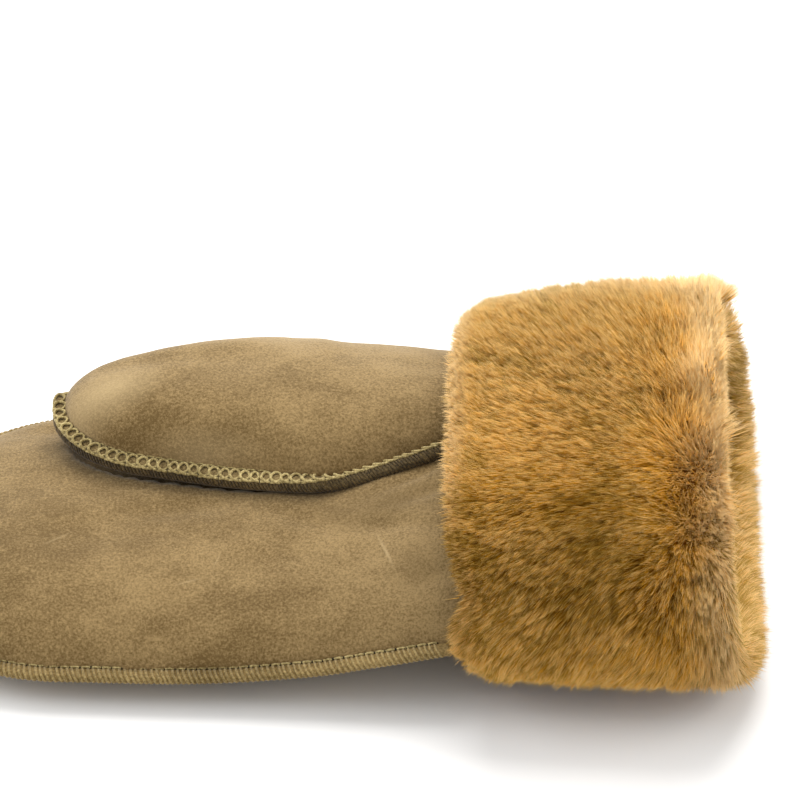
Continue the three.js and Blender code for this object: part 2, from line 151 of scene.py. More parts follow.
def hand_point(x, angle, inset=0):
    """A point of the hand's skin, or of its hollow when there is an inset."""
    width = tip_width(x)
    pinky = TIP_CENTRE_Y + (read(HAND_ROWS, 1, x) - TIP_CENTRE_Y) * width + inset * INSET_SIDEWAYS
    index = TIP_CENTRE_Y + (read(HAND_ROWS, 2, x) - TIP_CENTRE_Y) * width - inset * INSET_SIDEWAYS
    seam = read(HAND_ROWS, 3, x)
    full = width**0.75
    top = seam + (read(HAND_ROWS, 4, x) - seam) * full - inset
    bottom = seam + (read(HAND_ROWS, 5, x) - seam) * full + inset
    seam = np.where(np.asarray(inset) > 0, (top + np.maximum(bottom, inset)) / 2, seam)
    pinch = SKIN_PINCH + (HOLLOW_PINCH - SKIN_PINCH) * inset / THICKEST_WALL
    pinch = pinch + (WRIST_PINCH - pinch) * smoothstep(x, 20, 80)
    lift = power(np.sin(angle), pinch)
    y = (pinky + index) / 2 + (index - pinky) / 2 * power(np.cos(angle), 0.83)
    z = seam + lift * np.where(lift > 0, top - seam, seam - bottom)
    return place(x, y, np.maximum(z, inset))


def thumb_point(x, angle):
    """A point of the thumb's skin: the angle starts at its far edge and goes round over its top."""
    across = np.cos(angle)
    t = (1 + power(across, 0.86)) / 2
    near_y, near_z, far_y, far_z, up, down = (read(THUMB_ROWS, k, x) for k in range(1, 7))
    rise = power(np.sin(angle), 0.9 + 0.22 * np.maximum(0, -across))
    z = near_z + (far_z - near_z) * t + rise * np.where(rise > 0, up, down)
    return place(x, near_y + (far_y - near_y) * t, z)


def ring_faces(rings, sides, start=0, closed=False):
    """The four-sided faces between rings of points, which are numbered ring by ring from start."""
    faces = []
    for i in range(rings if closed else rings - 1):
        this, following = start + i * sides, start + (i + 1) % rings * sides
        for j in range(sides):
            after = (j + 1) % sides
            faces.append((this + j, this + after, following + after, following + j))
    return faces


def skin_tree(point, stations):
    """A search tree over a closed skin of sections."""
    sides = 160
    angles = np.linspace(0, 2 * np.pi, sides, endpoint=False)
    x, a = np.meshgrid(stations, angles, indexing="ij")
    grid = point(x, a).reshape(-1, 3)
    return BVHTree.FromPolygons([tuple(p) for p in grid], ring_faces(len(stations), sides))


tip_stations = TIP_X - TIP_LENGTH * np.sin(np.radians(np.linspace(89.9, 2, 40)))
hand_tree = skin_tree(hand_point, np.concatenate([tip_stations, np.arange(TIP_X, HAND_END, 2.5)]))
thumb_stations = np.concatenate([np.linspace(-96.6, -90, 12), np.arange(-89, 50, 2.5)])
thumb_tree = skin_tree(thumb_point, thumb_stations)


# Suede: the flesh side of the hide, brushed to a short nap. Patches of nap lie different ways and catch the
# light differently, and a fine grain of fibres covers it all.
def nap_group():
    """Nap: mottled colour between two tones, and a fibre bump."""
    group = bpy.data.node_groups.new("nap", "ShaderNodeTree")
    group.interface.new_socket("Dark", in_out="INPUT", socket_type="NodeSocketColor")
    group.interface.new_socket("Light", in_out="INPUT", socket_type="NodeSocketColor")
    group.interface.new_socket("Fibre", in_out="INPUT", socket_type="NodeSocketFloat")
    group.interface.new_socket("Color", in_out="OUTPUT", socket_type="NodeSocketColor")
    group.interface.new_socket("Height", in_out="OUTPUT", socket_type="NodeSocketFloat")
    nodes, links = group.nodes, group.links
    inputs, outputs = nodes.new("NodeGroupInput"), nodes.new("NodeGroupOutput")
    where = nodes.new("ShaderNodeTexCoord").outputs["Object"]

    def pattern(scale, detail, roughness, stretch=(1, 1, 1)):
        mapping = nodes.new("ShaderNodeMapping")
        mapping.inputs["Scale"].default_value = stretch
        links.new(where, mapping.inputs["Vector"])
        texture = nodes.new("ShaderNodeTexNoise")
        texture.inputs["Scale"].default_value = scale
        texture.inputs["Detail"].default_value = detail
        texture.inputs["Roughness"].default_value = roughness
        links.new(mapping.outputs["Vector"], texture.inputs["Vector"])
        return texture.outputs["Fac"]

    def weigh(*pairs):
        total = None
        for value, weight in pairs:
            scaled = nodes.new("ShaderNodeMath")
            scaled.operation = "MULTIPLY_ADD"
            links.new(value, scaled.inputs[0])
            scaled.inputs[1].default_value = weight
            if total is None:
                scaled.inputs[2].default_value = 0
            else:
                links.new(total, scaled.inputs[2])
            total = scaled.outputs[0]
        return total

    patches = pattern(13, 3, 0.5, (1, 1.4, 1))
    strokes = pattern(90, 4, 0.6, (0.8, 1.3, 1))
    grain = pattern(1350, 3, 0.8)
    tone = nodes.new("ShaderNodeMapRange")
    tone.inputs["From Min"].default_value = 0.42
    tone.inputs["From Max"].default_value = 0.58
    links.new(weigh((patches, 0.27), (strokes, 0.18), (grain, 0.55)), tone.inputs["Value"])
    blend = nodes.new("ShaderNodeMix")
    blend.data_type = "RGBA"
    links.new(tone.outputs["Result"], blend.inputs["Factor"])
    links.new(inputs.outputs["Dark"], blend.inputs["A"])
    links.new(inputs.outputs["Light"], blend.inputs["B"])
    links.new(blend.outputs["Result"], outputs.inputs["Color"])
    height = nodes.new("ShaderNodeMath")
    height.operation = "MULTIPLY"
    links.new(weigh((grain, 0.7), (strokes, 0.5)), height.inputs[0])
    links.new(inputs.outputs["Fibre"], height.inputs[1])
    links.new(height.outputs[0], outputs.inputs["Height"])
    return group


nap = nap_group()


# The paler tone of a rubbed scuff, and the darker tone of painted shade
RUBBED_TONE, PAINTED_SHADE_TONE = (0.5, 0.37, 0.19, 1), (0.1, 0.062, 0.02, 1)
SCUFF_AND_SHADE_LEVEL, SCUFF_AND_SHADE_REACH = 0.032, 0.05  # metres up: the rubbed patches and the painted shade are strongest on top and fade downwards


def suede(name, dark, light, fibre, sheen, scuff_and_shade_patches=()):
    """Suede in two tones, with patches: one of positive strength is a rubbed scuff, paler, and one of
    negative strength is painted shade, darker.
    """
    material = bpy.data.materials.new(name)
    material.use_nodes = True
    nodes, links = material.node_tree.nodes, material.node_tree.links
    shader = nodes["Principled BSDF"]
    shader.inputs["Roughness"].default_value = 0.95
    shader.inputs["Specular IOR Level"].default_value = 0.15
    shader.inputs["Sheen Weight"].default_value = sheen
    shader.inputs["Sheen Roughness"].default_value = 0.45
    shader.inputs["Sheen Tint"].default_value = (1.0, 0.93, 0.78, 1)
    surface = nodes.new("ShaderNodeGroup")
    surface.node_tree = nap
    surface.inputs["Dark"].default_value = (*dark, 1)
    surface.inputs["Light"].default_value = (*light, 1)
    surface.inputs["Fibre"].default_value = fibre
    bump = nodes.new("ShaderNodeBump")
    bump.inputs["Strength"].default_value = 0.5
    bump.inputs["Distance"].default_value = 0.0006
    colour = surface.outputs["Color"]
    for x, y, long, wide, turn, strength in scuff_and_shade_patches:
        line = nodes.new("ShaderNodeMapping")
        line.vector_type = "TEXTURE"
        line.inputs["Location"].default_value = ((x + ORIGIN[0]) * MM, (y + ORIGIN[1]) * MM, SCUFF_AND_SHADE_LEVEL)
        line.inputs["Rotation"].default_value = (0, 0, math.radians(turn))
        line.inputs["Scale"].default_value = (long * MM, wide * MM, SCUFF_AND_SHADE_REACH)
        links.new(nodes.new("ShaderNodeTexCoord").outputs["Object"], line.inputs["Vector"])
        reach = nodes.new("ShaderNodeVectorMath")
        reach.operation = "LENGTH"
        links.new(line.outputs["Vector"], reach.inputs[0])
        fade = nodes.new("ShaderNodeMapRange")
        fade.inputs["To Min"].default_value = abs(strength)
        fade.inputs["To Max"].default_value = 0
        links.new(reach.outputs["Value"], fade.inputs["Value"])
        # A patch mixes in the rubbed tone when its strength is positive, and the darker tone of painted shade
        # when it is negative
        rubbed = nodes.new("ShaderNodeMix")
        rubbed.data_type = "RGBA"
        rubbed.inputs["B"].default_value = RUBBED_TONE if strength > 0 else PAINTED_SHADE_TONE
        links.new(fade.outputs["Result"], rubbed.inputs["Factor"])
        links.new(colour, rubbed.inputs["A"])
        colour = rubbed.outputs["Result"]
    links.new(colour, shader.inputs["Base Color"])
    links.new(surface.outputs["Height"], bump.inputs["Height"])
    links.new(bump.outputs["Normal"], shader.inputs["Normal"])
    return material


SUEDE_TONES = ((0.125, 0.076, 0.024), (0.31, 0.21, 0.09))
# Middle x and y, half length and width, turn in degrees, strength
THUMB_SCUFFS = (
    (-84, 27, 20, 12, 20, 0.75),
    (-30, 52, 40, 9, -3, 0.2),
    (-57, 6, 20, 6, -8, 0.3),
)
PALM_SCUFFS_AND_SHADE = (
    (-4, -32, 9, 0.7, 108, 0.5),
    (-60, -38, 5, 0.5, 20, 0.5),
    (-52, -30, 4, 0.4, 70, 0.4),
    (-98, -20, 6, 0.6, 35, 0.35),
    # The last two patches, darker, are painted shade on the palm beside the cuff
    (-4, -13, 25, 11, 10, -0.5),
    (4, -40, 9, 14, 0, -0.3),
)
hide_suede = suede("hide_suede", *SUEDE_TONES, 1.0, 0.3, THUMB_SCUFFS)
palm_suede = suede("palm_suede", *SUEDE_TONES, 1.0, 0.3, PALM_SCUFFS_AND_SHADE)


# The hides. Each is its solid's shell, remeshed evenly, drawn back onto the smooth form of the hand or the
# thumb, and given the soft hollows and creases of worn sheepskin.
VOXEL = 1.5 * MM
REACH = 1.6 * MM  # how far a solid's flat facets lie from the smooth form at most
FACING = 0.6  # how nearly a facet faces as the smooth form does, where 1 is the same way
THUMB_SINK = 3.6  # how deep the thumb presses the palm in
# Hollows and creases of the palm: centre x and y, half length along and across, turn in degrees, depth
PALM_FOLDS = (
    (-88, -18, 20, 8, 0, 1.0),
    (-40, -32, 16, 12, 0, 1.2),
    (-8, -30, 10, 16, 0, 1.2),
    (-118, 8, 14, 22, 0, 0.9),
    (8, -10, 9, 3, 20, 1.1),
    (4, -2, 12, 2.2, 28, 0.9),
    (-2, -22, 14, 3, -12, 0.8),
    (-64, -8, 18, 4, 8, 0.7),
    (-30, -14, 9, 4, -35, 0.8),
    (10, -44, 10, 4, 15, 0.9),
    (12, 6, 7, 1.3, 64, 0.5),
    (8, 3, 6, 1.1, 58, 0.4),
)


# How far the palm's far rim curls up beyond the thumb's tip, in millimetres, against x
RIM_CURL = ((-150, -130, -114, -98, -80, -50, -30), (0, 0.6, 2.2, 4.4, 4.2, 2.0, 0))


def rim_lift(x, y):
    return np.interp(x, *RIM_CURL) * smoothstep(y, 36, 51)


def under_thumb(x, y):
    """1 on the part of the palm that the thumb covers, where the hide sinks away from the thumb's seam."""
    near = read(THUMB_ROWS, 1, x) - 1.7 * (1 - smoothstep(x, -44, -24))
    covered = smoothstep(y - near, 0, 1.6) * (1 - smoothstep(y - read(THUMB_ROWS, 3, x), -14, -4))
    return covered * smoothstep(x, -97, -90) * (1 - smoothstep(x, -28, -18))


def surface_of(mesh):
    """The places and normals of a mesh's vertices, as arrays."""
    spots, normals = np.empty(len(mesh.vertices) * 3), np.empty(len(mesh.vertices) * 3)
    mesh.vertices.foreach_get("co", spots)
    mesh.vertex_normals.foreach_get("vector", normals)
    return spots.reshape(-1, 3), normals.reshape(-1, 3)


def move_to(mesh, spots):
    mesh.vertices.foreach_set("co", spots.ravel())
    mesh.update()


def swell(p):
    """The broad and fine unevenness of the hide at a point in drawing millimetres."""
    return 0.45 * noise.noise(p / 24) + 0.2 * noise.noise(p / 9 + Vector((7, 0, 0)))


def soften(piece, times):
    smooth = piece.modifiers.new("soften", "SMOOTH")
    smooth.factor = 0.5
    smooth.iterations = times
    bpy.ops.object.modifier_apply(modifier="soften")


def mitten_hide(node, name, material, folds=()):
    """A hide panel made from its solid's shell."""
    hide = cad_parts[node].copy()
    hide.data = hide.data.copy()
    hide.name = name
    hide.data.name = name
    bpy.context.collection.objects.link(hide)
    bpy.ops.object.select_all(action="DESELECT")
    hide.select_set(True)
    bpy.context.view_layer.objects.active = hide
    shape = bmesh.new()
    shape.from_mesh(hide.data)
    bmesh.ops.remove_doubles(shape, verts=shape.verts, dist=0.01 * MM)
    shape.to_mesh(hide.data)
    shape.free()
    remesh = hide.modifiers.new("even", "REMESH")
    remesh.mode = "VOXEL"
    remesh.voxel_size = VOXEL
    bpy.ops.object.modifier_apply(modifier="even")
    mesh = hide.data
    soften(hide, 3)
    spots, normals = surface_of(mesh)
    for i, (spot, normal) in enumerate(zip(spots, normals)):
        nearest = [tree.find_nearest(spot, REACH) for tree in (hand_tree, thumb_tree)]
        hits = [hit for hit in nearest if hit[0] is not None and abs(hit[1].dot(normal)) > FACING]
        if hits:
            spots[i] = min(hits, key=lambda hit: hit[3])[0]
    move_to(mesh, spots)
    soften(hide, 2)
    spots, normals = surface_of(mesh)
    mm = spots / MM - ORIGIN
    push = np.array([swell(Vector(spot)) for spot in mm])
    upward = normals[:, 2] > 0.3
    for x, y, long, wide, turn, depth in folds:
        c, s = math.cos(math.radians(turn)), math.sin(math.radians(turn))
        dx, dy = mm[:, 0] - x, mm[:, 1] - y
        u, v = (dx * c + dy * s) / long, (dy * c - dx * s) / wide
        push -= upward * depth * np.exp(-u * u - v * v)
    if node == "palm_panel":
        push -= upward * THUMB_SINK * under_thumb(mm[:, 0], mm[:, 1])
    spots += normals * (push * MM * smoothstep(mm[:, 2], 0.5, 5))[:, None]
    if node != "thumb_inner_panel":
        spots[:, 2] += rim_lift(mm[:, 0], mm[:, 1]) * MM
    spots[:, 2] = np.maximum(spots[:, 2], 0)
    move_to(mesh, spots)
    for polygon in mesh.polygons:
        polygon.use_smooth = True
    mesh.materials.clear()
    mesh.materials.append(material)
    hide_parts(node)
    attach(hide, "root")


mitten_hide("palm_panel", "palm_hide", palm_suede, PALM_FOLDS)
mitten_hide("back_panel", "back_hide", hide_suede)
mitten_hide("thumb_inner_panel", "thumb_inner_hide", hide_suede)


# The seams. The two hides' raw edges stand together, outwards, and are overcast: a looper thread coils
# along the top of the edges and wraps round them, and a needle thread holds it down along the inner side.
SEAM_STEP = 0.5
SEAM_HALF_WIDTH, EDGE_HALF_DEPTH, THUMB_HALF_DEPTH = 2.1, 1.15, 2.0
SEAM_BITE = 1.2  # how far the ridge's middle stands out
FAR_TUCK = 3.2  # how far the thumb's ridge is tucked under on its far side
SEAM_START, CROTCH = 14, -27  # where the seams run under the cuff, and where the edge seam ends
SEAM_ROOT, SEAM_FLARE = 1.5, 0.95  # how the ridge runs on into the hides, and thickens there
STITCH = 3.0  # from one stitch to the next
THREAD = 0.36  # the thread's radius
# Angles round the ridge, from 0 outwards to 90 on top: the needle's line and holes, and the looper's coils
NEEDLE_LINE, NEEDLE_HOLES, HOLE_SLANT = 113, 117, 60
COIL_LINE, COIL_REACH, COIL_OVERLAP = 66, 37, 2.1
WRAP_TOP, COILED_WRAP_TOP, WRAP_BOTTOM = 112, 44, 98
# x, and the lean of the thumb's seam in degrees, where 90 stands straight up
NEAR_LEAN = ((-50, 0), (-41, 2), (-33, 8), (-26, 20), (-20, 38), (-14, 50), (-7, 56), (0, 60), (14, 62))
FAR_LEAN = ((-96.3, -8), (-94.5, -20), (-91, -30), (-85, -40), (-76, -48), (-66, -50))


def seam_run(points, leans):
    """A seam's middle at even short steps, with the ways along it, out of it and up its side."""
    points, leans = np.array(points, float), np.radians(np.array(leans, float))
    gaps = np.linalg.norm(np.diff(points, axis=0), axis=1)
    length = np.concatenate([[0], np.cumsum(gaps)])
    steps = np.linspace(0, length[-1], int(length[-1] / SEAM_STEP))
    middle = np.stack([np.interp(steps, length, points[:, k]) for k in range(3)], 1)
    lean = np.interp(steps, length, leans)
    for _ in range(12):
        middle[1:-1] = (middle[:-2] + 2 * middle[1:-1] + middle[2:]) / 4
    along = np.gradient(middle, axis=0)
    flat = np.stack([-along[:, 1], along[:, 0], 0 * lean], 1)
    flat /= np.linalg.norm(flat, axis=1)[:, None]
    out = flat * np.cos(lean)[:, None]
    out[:, 2] = np.sin(lean)
    middle = middle + out * SEAM_BITE
    along = np.gradient(middle, axis=0)
    along /= np.linalg.norm(along, axis=1)[:, None]
    side = np.cross(along, out)
    side /= np.linalg.norm(side, axis=1)[:, None]
    stand = np.cross(side, along)
    return middle, along, stand, side


def edge_seam_run():
    """Down the little-finger edge, round the fingertips and back to the crotch of the thumb."""
    straight = np.arange(SEAM_START, TIP_X, -2.0)
    round_tip = TIP_X - TIP_LENGTH * np.sin(np.radians(np.arange(0, 90, 2.5)))
    one_side = np.concatenate([straight, round_tip])
    back = np.concatenate([round_tip[::-1], np.arange(TIP_X, CROTCH, 2.0)])

    def edge(column, x):
        y = TIP_CENTRE_Y + (read(HAND_ROWS, column, x) - TIP_CENTRE_Y) * tip_width(x)
        return np.stack([x, y, read(HAND_ROWS, 3, x) + rim_lift(x, y)], 1)

    tip = [(TIP_X - TIP_LENGTH, TIP_CENTRE_Y, read(HAND_ROWS, 3, np.array([TIP_X]))[0])]
    points = np.concatenate([edge(1, one_side), tip, edge(2, back)])
    return seam_run(points, np.zeros(len(points)))


def thumb_seam_run():
    """Up the palm from the cuff, along the thumb's near edge, round its tip and back beneath its far side."""
    x = np.concatenate([np.arange(SEAM_START, -90, -2.0), np.arange(-90, -96.4, -0.7)])
    near = np.stack([x, read(THUMB_ROWS, 1, x), read(THUMB_ROWS, 2, x)], 1)
    lean_near = np.interp(x, *np.array(NEAR_LEAN).T)
    x = np.concatenate([np.arange(-96.3, -90, 0.7), np.arange(-90, -28, 2.0)])
    tuck = FAR_TUCK * np.clip((x + 96.3) / 5.3, 0, 1)
    far = np.stack([x, read(THUMB_ROWS, 3, x) - tuck, read(THUMB_ROWS, 4, x) - tuck], 1)
    lean_far = np.interp(x, *np.array(FAR_LEAN).T)
    return seam_run(np.concatenate([near, far]), np.concatenate([lean_near, lean_far]))


def tubes(paths, radius):
    """Threads of one radius as a list of points and faces, each path an array of points in millimetres."""
    sides = 5
    points, faces, start = [], [], 0
    turn = np.linspace(0, 2 * np.pi, sides, endpoint=False)
    for path in paths:
        along = np.gradient(path, axis=0)
        along /= np.linalg.norm(along, axis=1)[:, None]
        across = np.cross(along, (0.31, 0.22, 0.92))
        across /= np.linalg.norm(across, axis=1)[:, None]
        upright = np.cross(along, across)
        ring = np.cos(turn)[None, :, None] * across[:, None] + np.sin(turn)[None, :, None] * upright[:, None]
        points.append((path[:, None] + ring * radius).reshape(-1, 3))
        count = len(path)
        faces += ring_faces(count, sides, start)
        faces.append(tuple(start + j for j in range(sides))[::-1])
        faces.append(tuple(start + (count - 1) * sides + j for j in range(sides)))
        start += count * sides
    return np.concatenate(points), faces


def mesh_piece(name, points, faces, material):
    """A smooth-shaded piece from points in drawing millimetres."""
    mesh = bpy.data.meshes.new(name)
    mesh.from_pydata((points + ORIGIN) * MM, [], faces)
    for polygon in mesh.polygons:
        polygon.use_smooth = True
    mesh.materials.append(material)
    piece = bpy.data.objects.new(name, mesh)
    bpy.context.collection.objects.link(piece)
    return piece


def seam_section(angle, half_depth, lift=0):
    """Out of and up the ridge, for an angle round it from 0 outwards to 90 on top, lifted off its surface."""
    a = np.radians(angle)
    across, rise = power(np.cos(a), 0.75), power(np.sin(a), 0.75)
    out = across * (SEAM_HALF_WIDTH + SEAM_ROOT * (across < 0)) + np.cos(a) * lift
    up = rise * (half_depth - SEAM_FLARE * np.minimum(0, across)) + np.sin(a) * lift
    return out, up


def welt(name, run, half_depth, node, material):
    """The ridge of the two edges under the thread, closed at both ends."""
    middle, _, stand, side = run
    out, up = seam_section(np.linspace(0, 360, 20, endpoint=False), half_depth)
    points = middle[:, None] + out[None, :, None] * stand[:, None] + up[None, :, None] * side[:, None]
    points[:, :, 2] = np.maximum(points[:, :, 2], 0)
    sides, count = len(out), len(middle)
    faces = ring_faces(count, sides)
    faces.append(tuple(range(sides))[::-1])
    faces.append(tuple((count - 1) * sides + j for j in range(sides)))
    piece = mesh_piece(name, points.reshape(-1, 3), faces, material)
    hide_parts(node)
    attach(piece, "root")


def on_seam(run, half_depth, s, angle, lift):
    """Points on the ridge: s along it in millimetres, angle 0 outwards and 90 up its top, lifted off it."""
    index = np.arange(len(run[0]))
    ways = (np.stack([np.interp(s / SEAM_STEP, index, v[:, k]) for k in range(3)], 1) for v in run)
    middle, _, stand, side = ways
    out, up = seam_section(angle, half_depth, lift)
    return middle + stand * out[:, None] + side * up[:, None]


def stitches(name, run, half_depth, coiled):
    """Wraps over the edge, needle stitches along the inner side, and looper coils on top where they show."""
    chance = np.random.default_rng(11)
    length = (len(run[0]) - 1) * SEAM_STEP
    threads, wraps, holes = [], [], []
    for k in range(1, int(length / STITCH) - 1):
        s = k * STITCH + chance.normal(0, 0.08)
        if coiled:
            t = np.linspace(0, 1, 17)
            wide = chance.normal(1, 0.06)
            coil_s = s + STITCH * (t - 0.5) + COIL_OVERLAP * wide * np.sin(2 * np.pi * t)
            coil_a = COIL_LINE - COIL_REACH * wide * np.cos(2 * np.pi * t)
            lift = THREAD * (0.9 + 0.8 * np.sin(2 * np.pi * t))
            threads.append(on_seam(run, half_depth, coil_s, coil_a, lift))
        t = np.linspace(0, 1, 11)
        top = COILED_WRAP_TOP if coiled else WRAP_TOP
        lift = THREAD * (0.1 if coiled else -0.35) + 0 * t
        for lag in (0, 0.33, 0.66) if coiled else (0, 0.5):
            wrap_s = s + STITCH * (lag + 0.3 - 0.9 * t) + chance.normal(0, 0.08)
            wraps.append(on_seam(run, half_depth, wrap_s, top - (top + WRAP_BOTTOM) * t, lift))
        t = np.linspace(0.08, 0.92, 6)
        lift = THREAD * (0.3 + 0.8 * np.sin(np.pi * t))
        threads.append(on_seam(run, half_depth, s + STITCH * t, NEEDLE_LINE + 0 * t, lift))
        # Short dark tubes at the needle's holes: painted shadow in the holes
        t = np.linspace(-0.1, 0.1, 3)
        holes.append(on_seam(run, half_depth, s + STITCH * t, NEEDLE_HOLES - HOLE_SLANT * t, 0.05 + 0 * t))
    # On the thumb seam the wraps take thread darkened as painted shade
    for part, paths, radius, material in (
        ("stitches", threads, THREAD * (1.2 if coiled else 1), overcast_thread),
        ("wraps", wraps, THREAD * 1.2, painted_shade_thread if coiled else edge_wrap_thread),
        ("needle_hole_shadows", holes, THREAD, painted_hole_shadow),
    ):
        points, faces = tubes(paths, radius)
        points[:, 2] = np.maximum(points[:, 2], 0.05)
        piece = mesh_piece(name + "_" + part, points, faces, material)
        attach(piece, "root")


def thread_material(name, dark, light, fibre):
    """Spun thread: plied strands as a fine grain, paler where it is rubbed."""
    material = bpy.data.materials.new(name)
    material.use_nodes = True
    nodes, links = material.node_tree.nodes, material.node_tree.links
    shader = nodes["Principled BSDF"]
    shader.inputs["Roughness"].default_value = 0.7
    shader.inputs["Specular IOR Level"].default_value = 0.25
    shader.inputs["Sheen Weight"].default_value = 0.15
    surface = nodes.new("ShaderNodeGroup")
    surface.node_tree = nap
    surface.inputs["Dark"].default_value = (*dark, 1)
    surface.inputs["Light"].default_value = (*light, 1)
    surface.inputs["Fibre"].default_value = fibre
    bump = nodes.new("ShaderNodeBump")
    bump.inputs["Strength"].default_value = 0.6
    bump.inputs["Distance"].default_value = 0.0003
    links.new(surface.outputs["Color"], shader.inputs["Base Color"])
    links.new(surface.outputs["Height"], bump.inputs["Height"])
    links.new(bump.outputs["Normal"], shader.inputs["Normal"])
    return material


edge_suede = suede("edge_suede", (0.11, 0.069, 0.02), (0.3, 0.205, 0.078), 1.4, 0.15)
overcast_thread = thread_material("overcast_thread", (0.2, 0.145, 0.045), (0.58, 0.46, 0.2), 1.0)
rubbed_suede = suede("rubbed_suede", (0.11, 0.073, 0.026), (0.33, 0.24, 0.105), 1.4, 0.15)
# The edge seam's wraps, in a darker thread than the coils
edge_wrap_thread = thread_material("edge_wrap_thread", (0.16, 0.108, 0.032), (0.4, 0.285, 0.108), 1.5)
# The thumb seam's wraps: the thread darkened as painted shade on the seam's lower side
painted_shade_thread = thread_material("painted_shade_thread", (0.028, 0.017, 0.004), (0.16, 0.105, 0.036), 1.5)
# Near black, for the painted shadow in the needle's holes
painted_hole_shadow = thread_material("painted_hole_shadow", (0.006, 0.004, 0.002), (0.016, 0.01, 0.004), 1.0)
edge_run, thumb_run = edge_seam_run(), thumb_seam_run()
welt("edge_welt", edge_run, EDGE_HALF_DEPTH, "edge_seam", edge_suede)
welt("thumb_welt", thumb_run, THUMB_HALF_DEPTH, "thumb_seam", rubbed_suede)
stitches("edge", edge_run, EDGE_HALF_DEPTH, False)
stitches("thumb", thumb_run, THUMB_HALF_DEPTH, True)


# The cuff's hide: the end of the sleeve turned back over the hand, suede side in. It shows only as a thin
# edge under the fringe of fur.
CUFF_START, CUFF_HIDE = 15, 1.7
CUFF_FULLNESS, FUR_BOTTOM = 0.74, -1
# x, middle y, half width, hide top and bottom, fur's half width and top, and how much the top sinks
CUFF_ROWS = np.array([
    (15, 2, 67.5, 47.5, 5.8, 76.5, 56.5, 4.5),
    (45, 2.5, 67.5, 48.5, 5.8, 80, 59.5, 2),
    (70, 2.5, 68.5, 49.5, 5.8, 82, 61, 0),
    (92, 2.5, 69.5, 50, 5.8, 83.5, 62, 0),
])
# How far the cuff's free edge draws back towards the mouth, against the turn round it in half turns
FREE_EDGE = np.array([
    (-0.2, 5), (0, 7), (0.15, 7.5), (0.2, 6.8), (0.3, 4.2), (0.4, 2), (0.5, 0.8), (0.6, 0), (0.7, 0.8),
    (0.8, 3.6), (0.86, 5.6), (0.91, 3.2), (0.96, 1.6), (1.02, 2.4), (1.08, 6), (1.16, 8.5), (1.3, 6),
    (1.5, 4), (1.8, 5),
])


def cuff_point(x, angle, depth, hide=CUFF_HIDE):
    """A point of the cuff, in drawing millimetres: depth 0 on the hide and 1 at the fur's tips."""
    middle, half, top, bottom, fur_half, fur_top, drop = (read(CUFF_ROWS, k, x) for k in range(1, 8))
    half = half + hide + (fur_half - half - hide) * depth
    top = top + hide + (fur_top - top - hide) * depth
    bottom = bottom - hide + (FUR_BOTTOM - bottom + hide) * depth
    y = middle + half * power(np.cos(angle), CUFF_FULLNESS)
    lift = power(np.sin(angle), CUFF_FULLNESS)
    lowered = np.where(lift > 0, lift * drop * smoothstep(20 - y, 0, 60), 0)
    z = (top + bottom) / 2 + (top - bottom) / 2 * lift - lowered
    drawn = np.interp(np.mod(angle / np.pi + 0.2, 2) - 0.2, FREE_EDGE[:, 0], FREE_EDGE[:, 1])
    return place(x + drawn * (1 - smoothstep(x, CUFF_START, 60)), y, z) / MM - ORIGIN


def closed_sleeve(name, rings, material):
    """A closed ring-shaped piece from rings of points that run out, round and back in."""
    rings = np.array(rings)
    faces = ring_faces(*rings.shape[:2], closed=True)
    points = rings.reshape(-1, 3).copy()
    points[:, 2] = np.maximum(points[:, 2], 0)
    piece = mesh_piece(name, points, faces, material)
    shape = bmesh.new()
    shape.from_mesh(piece.data)
    bmesh.ops.recalc_face_normals(shape, faces=shape.faces)
    shape.to_mesh(piece.data)
    shape.free()
    return piece


round_cuff = np.linspace(0, 2 * np.pi, 180, endpoint=False)
along_cuff = np.linspace(CUFF_START, HAND_END, 16)
back_along_cuff = np.linspace(HAND_END, CUFF_START, 16)
outer_hide = [cuff_point(np.full_like(round_cuff, x), round_cuff, 0) for x in along_cuff]
inner_hide = [cuff_point(np.full_like(round_cuff, x), round_cuff, 0, 0.0) for x in back_along_cuff]
cuff_hide = closed_sleeve("cuff_hide", outer_hide + inner_hide, edge_suede)
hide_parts("cuff_backing")
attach(cuff_hide, "root")


# The cuff's fur: dense golden sheepskin pile 11 mm deep, combed back from the mouth and down its near side.
# A felted body of under-wool carries fine hairs in small tufts, dark at the root and pale at the tip, that
# fan out at the cuff's edges and part along a crease on the little-finger side. The under-wool and the roots
# are partly the pile's deeper colour and partly painted shade between the hairs.
LIP_START, LIP_INSIDE = 92.0, 88.0
LIP_LENGTH = 26.0  # round the lip from outside to inside
# How far the lip stands out past both: its body, its pile, and how much further its lower and far pile
LIP_BODY, LIP_PILE, LIP_LONGER = 2, 4.4, 5.4
FLEECE_FLOOR, FLEECE_PILE = 2.3, 5.2
# The root tone is partly the pile's deeper colour and partly painted shade between the hairs
ROOT_AND_GAP_SHADE_TONE = np.array((0.11, 0.037, 0.001))
PILE_TONE = np.array((0.66, 0.295, 0.014))
GUARD_TONE = np.array((1.0, 0.68, 0.26))
CREAM_TONE = np.array((1.0, 0.75, 0.41))


def inner_point(x, angle, depth):
    """The fleece inside the mouth."""
    return hand_point(x, angle, FLEECE_FLOOR + FLEECE_PILE * depth) / MM - ORIGIN


